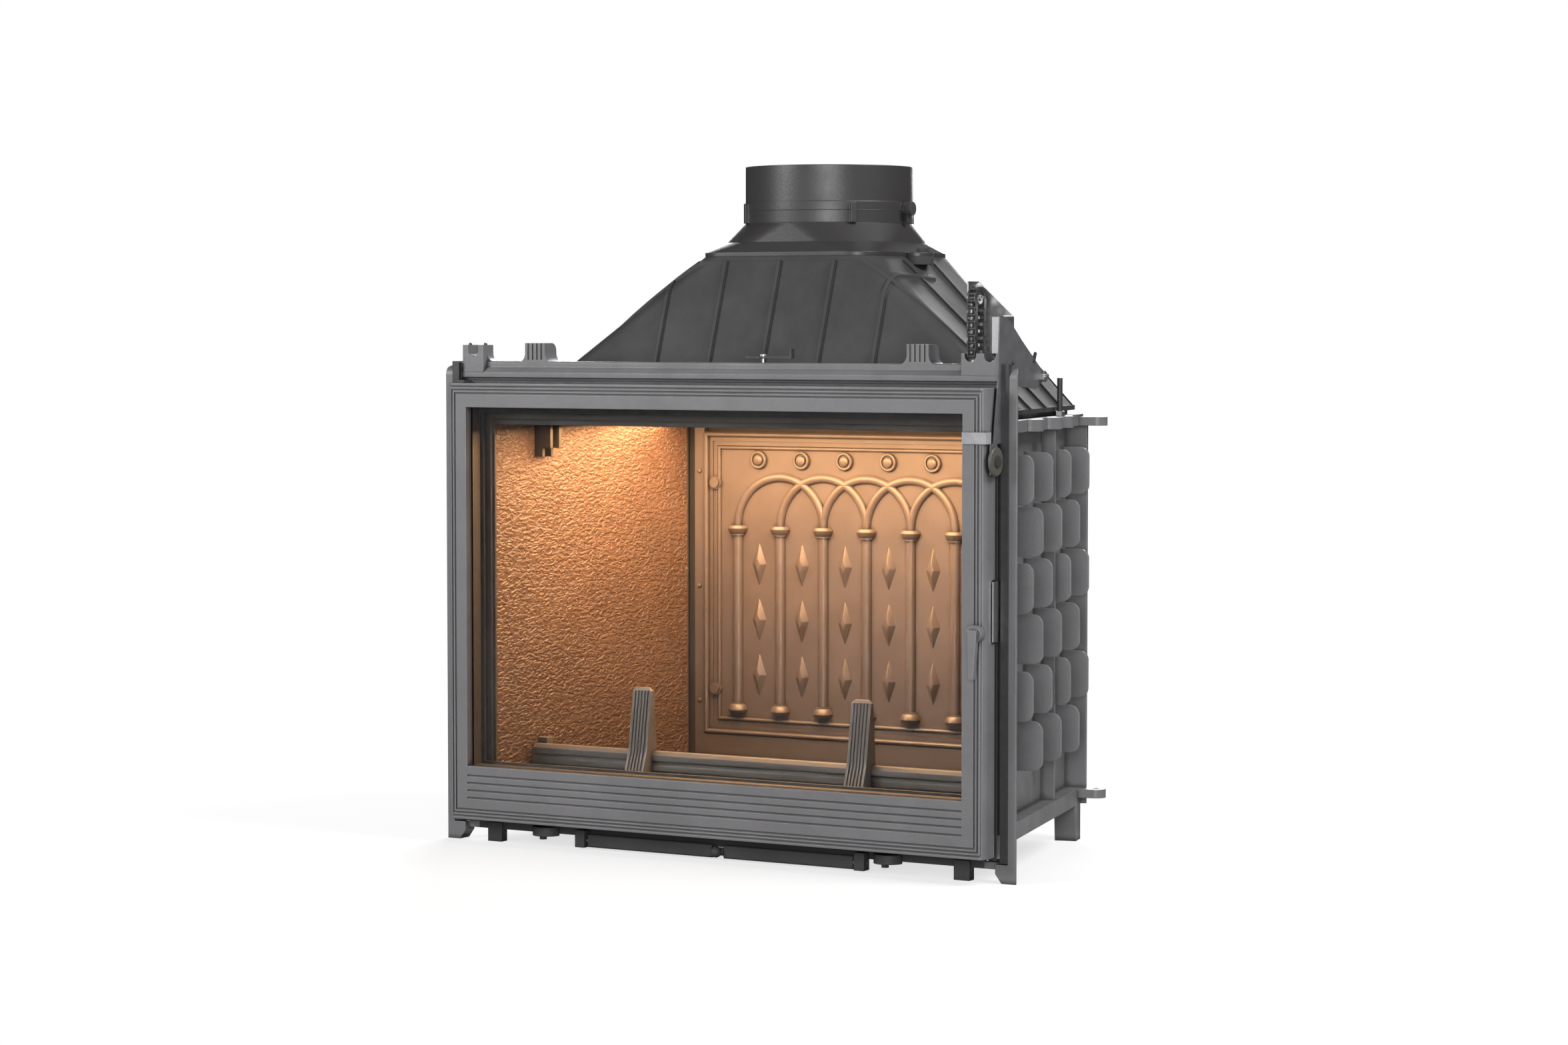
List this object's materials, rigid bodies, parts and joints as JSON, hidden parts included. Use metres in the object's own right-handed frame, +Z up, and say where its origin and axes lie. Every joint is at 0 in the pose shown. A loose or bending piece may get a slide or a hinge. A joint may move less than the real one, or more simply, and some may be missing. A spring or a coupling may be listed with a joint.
{
  "type": "fireplace insert",
  "caption": "Cast-iron fireplace insert with a glazed lift-up door that also swings, lined firebox, log guard, finned sides, ribbed hood and flue collar with damper.",
  "frame": {"origin": "on the floor under the middle of the outline", "axes": "+X to the right of someone facing the door, +Y back into the wall, +Z up along the flue"},
  "size_m": [0.942, 0.5312, 1],
  "materials": {
    "iron": "sand-cast, matt anthracite",
    "hood_iron": "sand-cast, matt dark",
    "lining": "hammered, matt",
    "steel": "zinc plated",
    "black_steel": "black, satin",
    "grey_paint": "satin grey",
    "glass": "clear heat-proof glass",
    "rope": "woven glass rope",
    "roller": "moulded"
  },
  "bodies": {
    "insert": {"front_frame": "iron", "top_bar": "iron", "left_bracket": "iron", "right_bracket": "iron", "left_side": "iron", "right_side": "iron", "base_plate": "iron", "back_wall": "iron", "flap_blocks": "iron", "screw_discs": "iron", "hearth_plate": "iron", "hood_lower": "hood_iron", "hood_collar": "hood_iron", "left_liner": "lining", "right_liner": "lining", "back_plate": "lining", "back_plate_bolts": "lining", "corner_strips": "lining", "baffle_plate": "lining", "baffle_brackets": "lining", "chain_channel": "steel", "lift_chain": "steel", "pulley_axle": "steel", "side_nuts": "steel", "plate_stud": "steel", "left_rail": "black_steel", "right_rail": "black_steel", "side_studs": "black_steel", "ring_bolts": "black_steel", "disc_bolts": "black_steel", "ash_pan": "black_steel", "roller_axle": "black_steel", "lift_side_plate": "grey_paint"},
    "lift_carrier": {"lift_carrier": "black_steel", "hinge_pins": "steel", "guide_shoes": "steel", "latch_strike": "steel"},
    "door": {"door_frame": "iron", "glass_gasket": "rope", "door_glass": "glass", "glass_clips": "black_steel", "door_seal": "rope", "door_strap": "steel"},
    "handle": {"handle_lever": "iron", "handle_spindle": "steel"},
    "roller": {"closing_roller": "roller"},
    "pulley": {"chain_pulley": "steel"},
    "damper": {"damper_plate": "iron", "damper_spindle": "steel", "damper_knob": "iron"},
    "draught_lever": {"draught_lever": "black_steel", "lever_pin": "steel", "register_disc": "black_steel"},
    "air_flap": {"flap_bars": "iron", "flap_shaft": "steel", "flap_knob": "iron"},
    "log_guard": {"log_guard_bar": "iron", "log_guard_posts": "iron"},
    "grate": {"grate": "iron"}
  },
  "joints": [
    {"name": "door_lift", "type": "slide", "parent": "insert", "child": "lift_carrier", "axis": [0, 0, 1], "range_m": [0, 0.53]},
    {"name": "door_swing", "type": "hinge", "parent": "lift_carrier", "child": "door", "pos_m": [-0.4355, -0.2136, 0.36], "axis": [0, 0, -1], "range_deg": [0, 90]},
    {"name": "latch_turn", "type": "hinge", "parent": "door", "child": "handle", "pos_m": [0.432, -0.2446, 0.346], "axis": [0, 1, 0], "range_deg": [0, 90]},
    {"name": "roller_spin", "type": "hinge", "parent": "insert", "child": "roller", "pos_m": [0.4502, -0.2266, 0.58], "axis": [1, 0, 0], "continuous": true},
    {"name": "pulley_spin", "type": "hinge", "parent": "insert", "child": "pulley", "pos_m": [0.3964, -0.1786, 0.8025], "axis": [-1, 0, 0], "range_deg": [0, 2336]},
    {"name": "damper_turn", "type": "hinge", "parent": "insert", "child": "damper", "pos_m": [0, 0.11944, 0.937], "axis": [1, 0, 0], "range_deg": [0, 70]},
    {"name": "draught_turn", "type": "hinge", "parent": "insert", "child": "draught_lever", "pos_m": [0.059, -0.1796, 0.718], "axis": [0, 0, 1], "range_deg": [0, 30]},
    {"name": "flap_turn", "type": "hinge", "parent": "insert", "child": "air_flap", "pos_m": [0, -0.2056, 0.013], "axis": [-1, 0, 0], "range_deg": [0, 50]},
    {"name": "guard_lift", "type": "slide", "parent": "insert", "child": "log_guard", "axis": [0, 0, 1], "range_m": [0, 0.12]},
    {"name": "grate_lift", "type": "slide", "parent": "insert", "child": "grate", "axis": [0, 0, 1], "range_m": [0, 0.1]}
  ],
  "couplings": [
    {"joint": "pulley_spin", "follows": "door_lift", "rad_per_m": 76.923}
  ]
}
